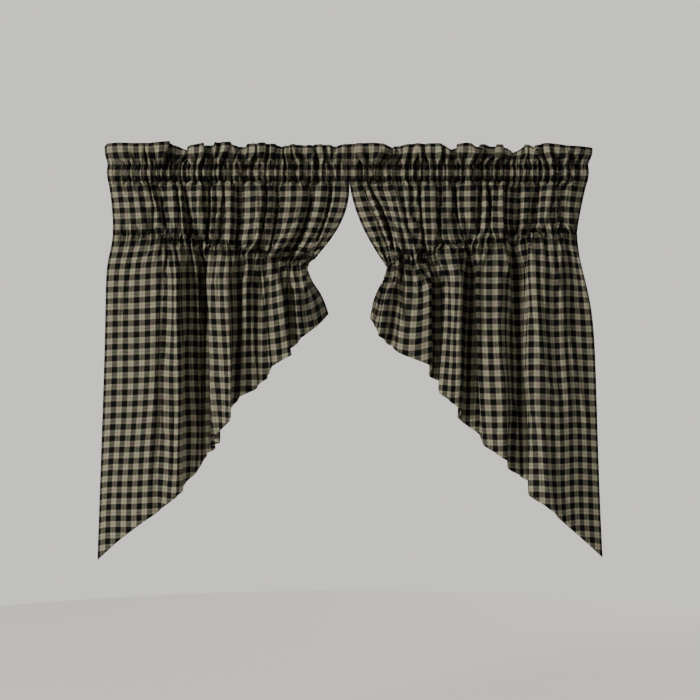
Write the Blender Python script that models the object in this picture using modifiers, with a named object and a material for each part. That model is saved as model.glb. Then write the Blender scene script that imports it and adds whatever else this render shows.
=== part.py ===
# A pair of gathered swag curtain panels that share one rod.
# Each panel is one trapezoid of cloth with a ruffled heading and an empty rod pocket along the top,
# a row of shirring across it, and a long slanting hem that falls to a point at the outer side.
# +X right, +Y towards the wall, +Z up. The origin is on the rod's axis, between the two panels.

import math
from collections import namedtuple

import bmesh
import bpy
import numpy as np

MM = 0.001

# The flat cloth of one panel
CLOTH_WIDTH = 914 * MM
CLOTH_THICK = 1.5 * MM
SKIRT_INNER = 119 * MM      # from the shirring to the hem at the inner side edge
HEM_SLOPE = 0.62            # how much longer the skirt gets for each step outwards
TIP_DROP = 43 * MM          # extra length at the outer point, where the cut curves down
TIP_REACH = 110 * MM        # how fast that extra length fades away from the outer side edge

# The heading and the rod pocket
POCKET_HALF = 15.4 * MM     # from the rod's axis to each of the two stitched lines
HEADING_TOP = 62.8 * MM
POCKET_SWELL = 9.6 * MM     # how far the pocket's walls stand off the rod's axis
POCKET_PROFILE = ((-0.68, 0.8), (0.0, 1.0), (0.68, 0.8))    # shares of its half height and its swell
SEAM_HALF = 1.3 * MM        # half the thickness where the two layers are sewn together
CHANNEL_HALF_TALL = 13.2 * MM
CHANNEL_HALF_DEEP = 7.6 * MM
CHANNEL_PROFILE = ((-1.0, 0.0), (-0.78, 0.8), (0.0, 1.0), (0.78, 0.8), (1.0, 0.0))
POCKET_PUCKER = 1.2 * MM
FLARE_BEND = 4              # the ruffle's outer end flares with this power of its place on the rod
PANEL_GAP = 1.0 * MM        # each panel stops this far from the middle
PIECE_GAP = 0.3 * MM        # between a heading and the cloth below it

# How the folds form above and below the shirring
OPENING = 42 * MM           # how far below the shirring the skirt takes to open into its folds
EDGE_REACH = 35 * MM        # how far in from a side edge that edge's own opening counts
SWAY = 1.5                  # above 1, a crease drifts sideways mostly in its lower part
SHIRRED_DEPTH = 0.40        # share of a skirt fold's depth that is left on the shirred line
SHIRRED_RISE = 3            # power with which the skirt's folds come in as the yoke nears that line
ROD_DEPTH = 0.40            # share of a yoke fold's depth that is left at the rod pocket
YOKE_FADE = 4               # power with which the yoke's folds end on the shirred line
PUFF = 6 * MM               # how far the cloth swells out above and below the shirring
PUFF_START = 12 * MM
PUFF_REACH = 90 * MM
PUCKER = 2.5 * MM           # zigzag of the small gathers on the shirred line
PUCKER_REACH = 20 * MM
CREASE_RADIUS = 7.5 * MM    # how softly the cloth turns at a crease, along the cloth
TUCK_RADIUS = 3 * MM        # the same at the rims of the yoke's tucks
SEWN_RADIUS = 55 * MM       # over this length the tucks are spread out on the gathered lines
ROD_REACH = 9 * MM          # a tuck is fully formed this far from the rod pocket
SHIRRING_REACH = 16 * MM    # and this far from the shirring
BLUR_STEPS = 11
STRAIGHT_EDGE = 1.5 * MM    # the yoke hangs straight for this far under the rod pocket
STEEPEST = 0.5              # a step of cloth falls by at least this share of its length

# Steps of the mesh
NEAREST_COLUMNS = 8 * MM
WIDEST_COLUMN = 15 * MM
YOKE_ROWS = 8
SKIRT_ROWS = 11
ROW_CROWDING = 1.3          # above 1, the skirt's rows lie closer together near the shirring
HEADING_COLUMNS = 52
RUFFLE_ROWS = 3

HEADING_COLOUR = (0.070, 0.064, 0.047)
PANEL_COLOUR = (0.085, 0.078, 0.058)
ROUGHNESS = 0.9

# One row for each crease of a skirt, from the outer side edge to the inner one, in millimetres.
# cloth: its place across the flat cloth. gathers, upper, hem: how far from the middle of the pair it
# hangs on the shirred line, just under the gathers, and at the hem. out_upper, out_hem: how far it
# stands out towards the room.
Crease = namedtuple("Crease", "cloth gathers upper hem out_upper out_hem")

LEFT_SKIRT = (
    Crease(0, 522, 539, 560, -26, -30),
    Crease(46, 478, 494, 516, -13, -16),
    Crease(126, 409, 416, 440, 4, 3),
    Crease(144, 406, 408, 424, -10, -2),
    Crease(166, 399, 395, 405, 7, 4),
    Crease(200, 386, 374, 375, 21, 17),
    Crease(230, 370, 370, 368, -5, -6),
    Crease(262, 356, 355, 352, -30, -28),
    Crease(300, 345, 330, 328, -42, -38),
    Crease(330, 333, 319, 320, -54, -50),
    Crease(376, 320, 291, 294, -40, -36),
    Crease(440, 304, 313, 296, 8, 8),
    Crease(468, 284, 291, 276, 22, 20),
    Crease(498, 262, 263, 257, 33, 28),
    Crease(537, 250, 262, 259, -5, -12),
    Crease(562, 242, 238, 252, -28, -26),
    Crease(594, 229, 229, 238, 4, -14),
    Crease(624, 204, 211, 205, 8, -8),
    Crease(651, 194, 196, 192, -16, -14),
    Crease(671, 189, 185, 178, -18, -18),
    Crease(711, 183, 186, 173, 16, 18),
    Crease(760, 148, 145, 134, 14, 14),
    Crease(791, 139, 137, 130, -14, -12),
    Crease(806, 132, 126, 118, -12, -10),
    Crease(831, 123, 123, 104, 16, 16),
    Crease(868, 101, 90, 77, 14, 14),
    Crease(914, 94, 62, 44, -20, -24),
)

RIGHT_SKIRT = (
    Crease(0, 504, 542, 565, -30, -34),
    Crease(50, 480, 494, 521, -16, -17),
    Crease(100, 450, 456, 478, 1, 0),
    Crease(145, 418, 421, 441, 23, 19),
    Crease(168, 402, 402, 421, 22, 19),
    Crease(188, 388, 385, 402, 10, 9),
    Crease(230, 372, 391, 404, -26, -24),
    Crease(256, 360, 372, 380, -34, -29),
    Crease(292, 346, 350, 358, -6, -8),
    Crease(328, 330, 334, 344, 24, 20),
    Crease(356, 309, 306, 320, 18, 16),
    Crease(386, 291, 274, 293, 10, 9),
    Crease(430, 277, 288, 288, -27, -24),
    Crease(461, 267, 271, 262, -38, -32),
    Crease(494, 256, 257, 244, -26, -24),
    Crease(545, 245, 245, 236, 23, 20),
    Crease(568, 220, 228, 220, 22, 20),
    Crease(592, 197, 212, 207, 9, 8),
    Crease(633, 181, 215, 204, -24, -20),
    Crease(667, 167, 185, 176, -26, -22),
    Crease(716, 150, 176, 172, 18, 16),
    Crease(747, 135, 148, 141, 22, 20),
    Crease(776, 121, 120, 110, 12, 12),
    Crease(806, 108, 110, 93, -14, -12),
    Crease(836, 100, 94, 75, 8, 6),
    Crease(872, 92, 80, 62, -10, -12),
    Crease(914, 86, 62, 47, -24, -24),
)

# The tucks of the yoke, from the outer side edge inwards, in mm. cloth: the tuck's middle, measured across
# the flat cloth. take: the cloth it hides. rod and waist: its distance from the middle of the pair at the
# rod pocket and halfway down. gap: how wide it shows. outer_rim and inner_rim: how far out its rims lie.
Tuck = namedtuple("Tuck", "cloth take rod waist gap outer_rim inner_rim")

LEFT_TUCKS = (
    Tuck(110, 24, 437, 428, 9, 0, 7),
    Tuck(153, 40, 420, 411, 11, 9, 1),
    Tuck(225, 38, 379, 372, 10, 4, 7),
    Tuck(285, 64, 362, 356, 12, 10, -2),
    Tuck(392, 66, 310, 308, 12, 3, 4),
    Tuck(470, 38, 276, 275, 11, 6, 4),
    Tuck(533, 50, 247, 245, 18, 9, -3),
    Tuck(631, 46, 183, 185, 11, 4, 4),
    Tuck(686, 34, 161, 163, 10, 7, 1),
    Tuck(792, 50, 84, 94, 15, 3, 1),
    Tuck(863, 30, 40, 55, 9, 5, 1),
)

RIGHT_TUCKS = (
    Tuck(69, 44, 471, 463, 14, 3, 4),
    Tuck(157, 56, 420, 415, 15, 6, -14),
    Tuck(226, 24, 379, 377, 10, -4, -24),
    Tuck(289, 44, 345, 342, 10, -2, 12),
    Tuck(360, 46, 311, 309, 12, 7, 5),
    Tuck(421, 54, 289, 287, 15, 4, 5),
    Tuck(509, 40, 237, 238, 10, 5, -5),
    Tuck(588, 56, 198, 199, 16, 4, 7),
    Tuck(672, 54, 154, 157, 15, 6, -2),
    Tuck(818, 44, 46, 80, 12, 2, 4),
    Tuck(861, 30, 32, 67, 9, 5, 1),
)

# A crease of the yoke: a side edge, or the rim or bottom of a tuck. foot is its place on the shirred line.
YokeCrease = namedtuple("YokeCrease", "cloth rod waist foot out")

# The ruffle's top edge, from its outer end inwards, in mm: distance from the middle of the pair, how much
# the edge rises there, and how far it leans out.
Ruffle = namedtuple("Ruffle", "middle rise out")

LEFT_RUFFLE = (
    Ruffle(539, -5, -3),
    Ruffle(533, 2, 0),
    Ruffle(504, 3, 0),
    Ruffle(457, 3, 3),
    Ruffle(449, 3, -7),
    Ruffle(440, 3, 0),
    Ruffle(396, 7, 7),
    Ruffle(391, 3, -8),
    Ruffle(385, -1, -8),
    Ruffle(358, -14, -10),
    Ruffle(350, -1, -5),
    Ruffle(319, 3, 4),
    Ruffle(313, -2, -8),
    Ruffle(302, -2, 0),
    Ruffle(297, 5, 3),
    Ruffle(289, 6, -5),
    Ruffle(262, 5, 6),
    Ruffle(256, 0, -4),
    Ruffle(245, -4, 5),
    Ruffle(239, -5, -5),
    Ruffle(225, 1, 4),
    Ruffle(214, 3, -8),
    Ruffle(192, 4, 5),
    Ruffle(178, 2, -4),
    Ruffle(160, -1, 4),
    Ruffle(148, -6, 2),
    Ruffle(140, -3, -4),
    Ruffle(126, 0, 3),
    Ruffle(97, -3, 3),
    Ruffle(84, -2, -6),
    Ruffle(66, 0, 4),
    Ruffle(57, 0, -4),
    Ruffle(40, -2, 4),
    Ruffle(29, -4, -5),
    Ruffle(13, -3, 0),
    Ruffle(0, 1, 0),
)

RIGHT_RUFFLE = (
    Ruffle(541, -5, -18),
    Ruffle(535, -3, -16),
    Ruffle(478, -2, -6),
    Ruffle(456, 1, 0),
    Ruffle(438, 3, 0),
    Ruffle(423, 3, 0),
    Ruffle(417, -7, -12),
    Ruffle(412, -11, 2),
    Ruffle(403, -5, 4),
    Ruffle(394, 0, -6),
    Ruffle(385, -4, -2),
    Ruffle(377, -11, -3),
    Ruffle(363, -17, -8),
    Ruffle(354, -12, -4),
    Ruffle(347, -8, -8),
    Ruffle(341, -6, 6),
    Ruffle(335, 0, 4),
    Ruffle(326, -3, 3),
    Ruffle(314, -5, -8),
    Ruffle(305, -1, -1),
    Ruffle(297, 1, 3),
    Ruffle(289, -5, -8),
    Ruffle(278, -6, 2),
    Ruffle(271, 1, 2),
    Ruffle(258, 3, 3),
    Ruffle(238, 0, 4),
    Ruffle(231, -8, -6),
    Ruffle(224, -12, -8),
    Ruffle(217, -6, -8),
    Ruffle(211, 0, -4),
    Ruffle(196, 2, 3),
    Ruffle(180, 2, 2),
    Ruffle(175, 2, -7),
    Ruffle(156, 2, 0),
    Ruffle(147, 1, -6),
    Ruffle(130, 0, 1),
    Ruffle(112, -3, 2),
    Ruffle(103, -5, -10),
    Ruffle(97, -7, -4),
    Ruffle(88, -4, -3),
    Ruffle(77, 1, -2),
    Ruffle(51, 3, 0),
    Ruffle(0, 1, 0),
)

# The two panels. side: -1 is the left one. edge and inner_edge: the yoke's side edges. shirring_outer and
# shirring_fall: the height of the shirred line at the outer side edge, and how far it falls to the inner
# one. bend: how late it falls. opening_outer and opening_inner: how far below the shirring each side edge
# takes to open. pocket: how far from the middle the rod pocket ends. flare: how much further the ruffle's
# corner reaches.
Panel = namedtuple("Panel", "name side skirt tucks edge inner_edge ruffle shirring_outer shirring_fall bend "
                            "opening_outer opening_inner pocket flare")

PANELS = (
    Panel("left", -1, LEFT_SKIRT, LEFT_TUCKS,
          YokeCrease(0, 532, 523, 522, -8), YokeCrease(914, 1, 18, 94, -2),
          LEFT_RUFFLE, -134 * MM, 70 * MM, 1.2, 58 * MM, 64 * MM, 532 * MM, 7 * MM),
    Panel("right", 1, RIGHT_SKIRT, RIGHT_TUCKS,
          YokeCrease(0, 527, 513, 504, -10), YokeCrease(914, 1, 27, 86, -2),
          RIGHT_RUFFLE, -130 * MM, 79 * MM, 1.4, 135 * MM, 48 * MM, 531 * MM, 10 * MM),
)


def clear_scene():
    for thing in list(bpy.data.objects):
        bpy.data.objects.remove(thing, do_unlink=True)


def new_collection(name):
    collection = bpy.data.collections.new(name)
    bpy.context.scene.collection.children.link(collection)
    return collection


def cloth_material(name, colour):
    material = bpy.data.materials.new(name)
    material.use_nodes = True
    shader = material.node_tree.nodes["Principled BSDF"]
    shader.inputs["Base Color"].default_value = (*colour, 1.0)
    shader.inputs["Roughness"].default_value = ROUGHNESS
    shader.inputs["Metallic"].default_value = 0.0
    return material


def table_column(table, name):
    return np.array([getattr(row, name) for row in table], dtype=float) * MM


def along(table, name, cloth, reach):
    """Read one column of a crease table at places across the cloth, averaged over a reach to each side."""
    keys = table_column(table, "cloth")
    values = table_column(table, name)
    radius = np.minimum(reach, np.minimum(cloth, CLOTH_WIDTH - cloth))
    offsets = np.linspace(-1.0, 1.0, BLUR_STEPS)
    return sum(np.interp(cloth + radius * step, keys, values) for step in offsets) / BLUR_STEPS


def yoke_creases(panel):
    """The two rims and the bottom of each tuck, between the two side edges."""
    creases = [panel.edge]
    for tuck in panel.tucks:
        depth = math.sqrt(tuck.take ** 2 - tuck.gap ** 2) / 2
        bottom = (tuck.outer_rim + tuck.inner_rim) / 2 - depth
        foot = np.interp(tuck.cloth * MM, table_column(panel.skirt, "cloth"),
                         table_column(panel.skirt, "gathers")) / MM
        for turn, out in ((-1, tuck.outer_rim), (0, bottom), (1, tuck.inner_rim)):
            shift = turn * tuck.gap / 2
            creases.append(YokeCrease(tuck.cloth + turn * tuck.take / 2, tuck.rod - shift,
                                      tuck.waist - shift, foot - shift, out))
    return creases + [panel.inner_edge]


def column_places(panel):
    """Places across the cloth for the mesh: one at each crease, and more where creases are far apart."""
    places = list(table_column(yoke_creases(panel), "cloth"))
    for place in table_column(panel.skirt, "cloth"):
        if min(abs(place - other) for other in places) >= NEAREST_COLUMNS:
            places.append(place)
    places.sort()
    filled = [places[0]]
    for place in places[1:]:
        count = math.ceil((place - filled[-1]) / WIDEST_COLUMN)
        filled += list(np.linspace(filled[-1], place, count + 1)[1:])
    return np.array(filled)


def skirt_length(cloth):
    """Length of cloth from the shirring to the hem: a straight cut with a drooping outer point."""
    straight = SKIRT_INNER + HEM_SLOPE * (CLOTH_WIDTH - cloth)
    return straight + TIP_DROP * np.exp(-cloth / TIP_REACH)


def shirring_height(panel, cloth):
    return panel.shirring_outer - panel.shirring_fall * (cloth / CLOTH_WIDTH) ** panel.bend


def zigzag(count):
    """+1 and -1 in turn, but 0 at both side edges."""
    wave = np.where(np.arange(count) % 2 == 0, -1.0, 1.0)
    wave[[0, -1]] = 0.0
    return wave


def through_three(start, middle, end, share):
    """The parabola that is at start, middle and end for shares 0, a half and 1."""
    return (start * 2 * (share - 0.5) * (share - 1) + middle * 4 * share * (1 - share)
            + end * 2 * share * (share - 0.5))


def yoke_rows(panel, cloth):
    """Rows of points from under the rod pocket to just above the shirred line.

    Between the two gathered lines the tucks are fully formed. On the lines the same creases are spread out.
    """
    creases = yoke_creases(panel)
    sharp = [along(creases, name, cloth, TUCK_RADIUS) for name in ("rod", "waist", "foot", "out")]
    soft = [along(creases, name, cloth, SEWN_RADIUS) for name in ("rod", "waist", "out")]
    gathers = along(panel.skirt, "gathers", cloth, CREASE_RADIUS)
    shirred = along(panel.skirt, "out_upper", cloth, CREASE_RADIUS) * SHIRRED_DEPTH
    top = -POCKET_HALF - PIECE_GAP
    drop = top - shirring_height(panel, cloth)
    rows = []
    for turn in np.arange(YOKE_ROWS) / YOKE_ROWS:
        down = (1 - math.cos(math.pi * turn)) / 2
        formed = ((1 - np.exp(-(drop * down / ROD_REACH) ** 2))
                  * (1 - np.exp(-(drop * (1 - down) / SHIRRING_REACH) ** 2)))
        spread = through_three(soft[0], soft[1], gathers, down)
        across = spread + (through_three(sharp[0], sharp[1], sharp[2], down) - spread) * formed
        level = soft[2] * ROD_DEPTH
        out = level * (1 - down ** YOKE_FADE) + (sharp[3] - level) * formed + shirred * down ** SHIRRED_RISE
        out = out + PUCKER * zigzag(len(cloth)) * np.exp(-drop * (1 - down) / PUCKER_REACH)
        out = out + PUFF * math.sin(math.pi * down)
        rows.append((across, out, top - drop * down))
    across, out, height = rows[0]
    rows.insert(1, (across, out, height - STRAIGHT_EDGE))
    return rows


def skirt_rows(panel, cloth):
    """Rows of points from the shirred line to the hem. Each column keeps its length of cloth."""
    gathers = along(panel.skirt, "gathers", cloth, CREASE_RADIUS)
    upper = along(panel.skirt, "upper", cloth, CREASE_RADIUS)
    hem = along(panel.skirt, "hem", cloth, CREASE_RADIUS)
    out_upper = along(panel.skirt, "out_upper", cloth, CREASE_RADIUS)
    out_hem = along(panel.skirt, "out_hem", cloth, CREASE_RADIUS)
    opening = (OPENING + (panel.opening_outer - OPENING) * np.exp(-cloth / EDGE_REACH)
               + (panel.opening_inner - OPENING) * np.exp((cloth - CLOTH_WIDTH) / EDGE_REACH))
    length = skirt_length(cloth)
    height = shirring_height(panel, cloth)
    rows = []
    for share in (np.arange(SKIRT_ROWS + 1) / SKIRT_ROWS) ** ROW_CROWDING:
        down = length * share
        release = np.exp(-(down / opening) ** 2)
        across = upper + (hem - upper) * share ** SWAY + (gathers - upper) * release
        out = (out_upper + (out_hem - out_upper) * share) * (1 - (1 - SHIRRED_DEPTH) * release)
        out = out + PUCKER * zigzag(len(cloth)) * np.exp(-down / PUCKER_REACH)
        out = out + PUFF * (1 - np.exp(-down / PUFF_START)) * np.exp(-down / PUFF_REACH)
        if rows:
            step = length * (share - last_share)
            lean = (across - rows[-1][0]) ** 2 + (out - rows[-1][1]) ** 2
            height = rows[-1][2] - np.sqrt(np.maximum(step ** 2 - lean, (STEEPEST * step) ** 2))
        rows.append((across, out, height))
        last_share = share
    return rows


def add_object(name, mesh, material, collection):
    thing = bpy.data.objects.new(name, mesh)
    thing.data.materials.append(material)
    collection.objects.link(thing)
    return thing


def place_grid(bm, rows, side):
    """A grid of cloth whose rows are (distance from the middle, out, height) arrays."""
    columns = len(rows[0][0])
    made = bmesh.ops.create_grid(bm, x_segments=columns - 1, y_segments=len(rows) - 1, size=1.0)
    verts = sorted(made["verts"], key=lambda vert: (-round(vert.co.y, 5), round(vert.co.x, 5)))
    for index, vert in enumerate(verts):
        across, out, height = rows[index // columns]
        column = index % columns
        vert.co = (side * across[column], -out[column], height[column])


def cloth_panel(panel, material, collection):
    """The yoke and the skirt: one sheet of cloth from under the rod pocket to the slanting hem."""
    cloth = column_places(panel)
    rows = yoke_rows(panel, cloth) + skirt_rows(panel, cloth)
    bm = bmesh.new()
    place_grid(bm, rows, panel.side)
    bmesh.ops.recalc_face_normals(bm, faces=bm.faces)
    mesh = bpy.data.meshes.new(panel.name + "_panel")
    bm.to_mesh(mesh)
    bm.free()
    mesh.shade_smooth()
    thing = add_object(panel.name + "_panel", mesh, material, collection)
    wall = thing.modifiers.new("cloth", "SOLIDIFY")
    wall.thickness = CLOTH_THICK
    wall.offset = 0.0
    return thing


def ruffle_at(panel, middle):
    """Rise and lean of the ruffle's top edge at a distance from the middle of the pair."""
    order = np.argsort(table_column(panel.ruffle, "middle"))
    keys = table_column(panel.ruffle, "middle")[order]
    rise = np.interp(middle, keys, table_column(panel.ruffle, "rise")[order])
    out = np.interp(middle, keys, table_column(panel.ruffle, "out")[order])
    return rise, out


def heading_section(panel, middle, bulge):
    """One side of the heading, from the lower stitched line up to the top edge: (height, out, lean)."""
    rise, lean = ruffle_at(panel, middle)
    ruffle_tall = HEADING_TOP - POCKET_HALF
    section = [(-POCKET_HALF, SEAM_HALF, 0.0)]
    for tall, swell in POCKET_PROFILE:
        section.append((POCKET_HALF * tall, POCKET_SWELL * swell + bulge, 0.0))
    section.append((POCKET_HALF, SEAM_HALF, 0.0))
    for share in np.arange(1, RUFFLE_ROWS + 1) / RUFFLE_ROWS:
        section.append((POCKET_HALF + (ruffle_tall + rise * share) * share, SEAM_HALF, lean * share))
    return section


def heading_ring(panel, middle, turn):
    """The heading's outline at one place: up its front and down its back, puckered on one side."""
    front = heading_section(panel, middle, POCKET_PUCKER * max(turn, 0.0))
    back = heading_section(panel, middle, POCKET_PUCKER * max(-turn, 0.0))
    ring = [(height, lean + out) for height, out, lean in front]
    return ring + [(height, lean - out) for height, out, lean in reversed(back)]


def channel_ring():
    """The outline of the empty channel for the rod."""
    front = [(CHANNEL_HALF_TALL * tall, CHANNEL_HALF_DEEP * deep) for tall, deep in CHANNEL_PROFILE]
    return front + [(tall, -deep) for tall, deep in reversed(front[1:-1])]


def loft(bm, panel, places, rings):
    """Join one closed ring for each place along the rod, and return the edges of every ring."""
    vert_rings = []
    for middle, ring in zip(places, rings):
        reach = middle / panel.pocket
        verts = []
        for height, out in ring:
            flare = panel.flare * reach ** FLARE_BEND * max(height, 0.0) / HEADING_TOP
            verts.append(bm.verts.new((panel.side * (middle + flare), -out, height)))
        vert_rings.append(verts)
    for one, other in zip(vert_rings, vert_rings[1:]):
        for index in range(len(one)):
            after = (index + 1) % len(one)
            bm.faces.new((one[index], one[after], other[after], other[index]))
    loops = []
    for ring in vert_rings:
        loops.append([bm.edges.get((ring[i], ring[(i + 1) % len(ring)])) for i in range(len(ring))])
    return loops


def heading(panel, material, collection):
    """The ruffle and the rod pocket: a ring of cloth round an empty channel, with the ruffle above."""
    places = np.linspace(PANEL_GAP, panel.pocket, HEADING_COLUMNS + 1)
    bm = bmesh.new()
    outer_rings = [heading_ring(panel, middle, turn) for middle, turn in zip(places, zigzag(len(places)))]
    outer_loops = loft(bm, panel, places, outer_rings)
    inner_loops = loft(bm, panel, places, [channel_ring()] * len(places))
    for end in (0, -1):
        bmesh.ops.triangle_fill(bm, edges=outer_loops[end] + inner_loops[end], use_beauty=True)
    bmesh.ops.recalc_face_normals(bm, faces=bm.faces)
    mesh = bpy.data.meshes.new(panel.name + "_heading")
    bm.to_mesh(mesh)
    bm.free()
    return add_object(panel.name + "_heading", mesh, material, collection)


def main():
    clear_scene()
    collection = new_collection("curtain_swag")
    for panel in PANELS:
        heading(panel, cloth_material(panel.name + "_heading_check", HEADING_COLOUR), collection)
        cloth_panel(panel, cloth_material(panel.name + "_panel_check", PANEL_COLOUR), collection)


main()
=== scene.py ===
import itertools
import math

import bpy
import numpy as np
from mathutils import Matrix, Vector


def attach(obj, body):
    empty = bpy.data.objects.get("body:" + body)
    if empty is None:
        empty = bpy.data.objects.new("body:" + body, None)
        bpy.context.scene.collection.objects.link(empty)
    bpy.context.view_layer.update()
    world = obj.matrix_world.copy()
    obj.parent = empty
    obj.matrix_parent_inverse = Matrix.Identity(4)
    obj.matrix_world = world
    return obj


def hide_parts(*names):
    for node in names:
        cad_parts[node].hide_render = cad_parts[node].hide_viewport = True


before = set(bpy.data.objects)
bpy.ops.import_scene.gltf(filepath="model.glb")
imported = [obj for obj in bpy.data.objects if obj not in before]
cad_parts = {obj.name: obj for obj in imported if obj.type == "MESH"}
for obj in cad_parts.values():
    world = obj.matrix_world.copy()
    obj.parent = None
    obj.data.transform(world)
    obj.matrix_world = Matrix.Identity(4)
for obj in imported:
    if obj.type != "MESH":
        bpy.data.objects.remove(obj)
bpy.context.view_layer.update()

mm = 0.001

# The cut of one panel, the same for both sides. Lengths in metres.
cut = {
    "width": 0.914,            # flat cloth from side edge to side edge
    "skirtInner": 0.119,       # shirring to hem at the inner side edge
    "hemSlope": 0.62,          # how much longer the skirt gets towards the outer side
    "tipDrop": 0.043,          # the hem curves down by this much at the outer point
    "tipReach": 0.110,         # and less and less over this length of cloth
    "pocketHalf": 0.0154,      # rod's axis to each stitched line
    "ruffleTop": 0.0628,       # rod's axis to the ruffle's top edge
    "clothThick": 0.0007,
    "innerGap": 0.0002,        # each heading stops this far from the middle
    "hemWidth": 0.013,
    "hemBehind": 0.0016,       # from the cloth's middle to the turned hem's middle
    "hemTurn": 0.002,          # it starts half that far behind and is fully there after this length
}

mesh = {
    "columns": 304, "yokeRows": 44, "skirtRows": 96, "headingColumns": 380, "hemRows": 5,
    "yokeCrowding": 0.6,       # share of the yoke's rows that crowds towards its two sewn lines
    "skirtCrowding": 1.4,      # above 1, the skirt's rows lie closer together under the shirring
    "evening": 14,             # the flat cloth's way down is evened out over this many columns
}


# A soft bell: 1 at distance 0, fading away beyond its reach.
def bell(distance, reach):
    return np.exp(-(distance / reach) ** 2)


# From 0 at both side edges of the cloth to 1, in a straight line over the reach.
def sideFade(cloth, reach):
    return np.minimum(1, np.minimum(cloth, cut["width"] - cloth) / reach)


# Running sum down each column, starting from 0.
def runningSum(steps):
    return np.concatenate([np.zeros((1, steps.shape[1])), np.cumsum(steps, axis=0)])


# Smooth an array along its last axis with a short triangle.
def smoothAlong(values, count):
    kernel = np.convolve(np.ones(count), np.ones(count)) / count ** 2
    padded = np.pad(values, [(0, 0)] * (values.ndim - 1) + [(count - 1, count - 1)], mode="edge")
    return np.apply_along_axis(lambda row: np.convolve(row, kernel, mode="valid"), -1, padded)


# Table rows in mm to one array for each column, in metres.
def columnsOf(rows):
    return (np.array(rows, dtype=float) * mm).T


# Blurred hat weights: straight lines between the keys, averaged over a short length of cloth on each side
# by a blunt triangle, so each crease turns in a small radius. Rows are places, columns are keys.
def creaseWeights(keys, places, radius):
    reach = np.minimum(radius, np.minimum(places - keys[0], keys[-1] - places))
    steps = np.linspace(-1, 1, 9)
    weights = 1.2 - np.abs(steps)
    total = np.zeros((len(places), len(keys)))
    for column, unit in enumerate(np.eye(len(keys))):
        for step, weight in zip(steps, weights):
            total[:, column] += weight * np.interp(places + reach * step, keys, unit)
    return total / weights.sum()


# The small gathers on the sewn lines, and the wider waves that they merge into.
gathering = {
    "length": 0.019,           # cloth taken up by one small gather
    "uneven": (0.62, 1.45),    # a gather's own width lies between these shares of that
    "drawn": 90,               # widths drawn at random, more than a panel has gathers
    "crest": 0.22,             # share of the second harmonic, which narrows the ridges
    "waves": (                 # width in gathers, greatest height, drift sideways in radians per metre
        (1, 0.0090, 150), (2, 0.0085, 45), (4, 0.0050, 5)),
    "variety": 0.35,           # how much their height varies along the panel
    "change": (1.3, 2),        # height and drift change over this many times a wave's width
    "gatherReach": 0.013,      # how far from a sewn line the small gathers reach
    "wideReach": 0.021,        # this far from it the waves of twice their width lead
    "wideLeast": 0.3,          # and this share of them is there on the line already
    "foldReach": 0.050,        # and beyond this the widest ones
    "gain": 1.60,              # height of the waves, against what the spare cloth gives
    "slack": 0.12,             # share of the cloth that stays flat away from the sewn lines
    "spareMost": 0.96,         # the most spare cloth that counts
    "sideFade": 0.012,         # the waves end this close to a side edge
    "handOver": 0.02,          # how softly the rod's gathers give way to the shirring's
    "pinch": 0.0036,           # extra height of the small gathers right beside a sewn line
    "pinchReach": 0.012,       # and how far from the line that fades
    "pinchTurn": 60,           # how fast this slants away from the line, in radians per metre
    "shirringPinches": 1.3,    # pinches for each gather on the shirred line
    "rodPinches": 1.2,         # and on the two stitched lines of the rod pocket
    "sideways": 0.0015,        # how far the small gathers lean over sideways
    "leanTurn": 90,            # and how fast that slants
    "puckerReach": 0.017,      # how far from a sewn line its finest puckers fade away
}


# A smooth random curve: random values at even knots, one for each pitch, joined by cosine easing.
def smoothNoise(rng, places, pitch):
    knots = int(places.max() / pitch) + 3
    values = rng.normal(0, 1, knots)
    position = places / pitch
    low = np.floor(position).astype(int)
    share = 0.5 - 0.5 * np.cos(math.pi * (position - low))
    return values[low] * (1 - share) + values[low + 1] * share


# Phase of the small gathers across the cloth: one turn for each gather, with widths drawn at random.
def gatherPhase(rng, cloth):
    widths = gathering["length"] * rng.uniform(*gathering["uneven"], gathering["drawn"])
    ends = np.concatenate([[0], np.cumsum(widths)])
    return 2 * math.pi * np.interp(cloth, ends, np.arange(len(ends)))


# A ridge wave with narrow crests: a cosine and a little of its second harmonic.
def pinchedWave(phase):
    return np.cos(phase) + gathering["crest"] * np.cos(2 * phase)


# The pinches beside a sewn line: a ridge wave that slants away from the line and fades.
def pinches(phase, distance, turns):
    slanted = turns * phase + gathering["pinchTurn"] * distance
    return bell(distance, gathering["pinchReach"]) * pinchedWave(slanted)


# How the gathers lean sideways: a sine of their phase that drifts on with the distance and fades.
def leaning(phase, distance, reach):
    return bell(distance, reach) * np.sin(phase + gathering["leanTurn"] * distance)


# Share of the cloth's own length that a row of points already uses across the panel, averaged over a few
# columns and never below a fifth.
def usedLength(across, out, cloth):
    step = np.gradient(cloth)
    reach = np.hypot(np.gradient(across, axis=1), np.gradient(out, axis=1)) / step
    return np.clip(smoothAlong(reach, 6), 0.2, 1.0)


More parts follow.
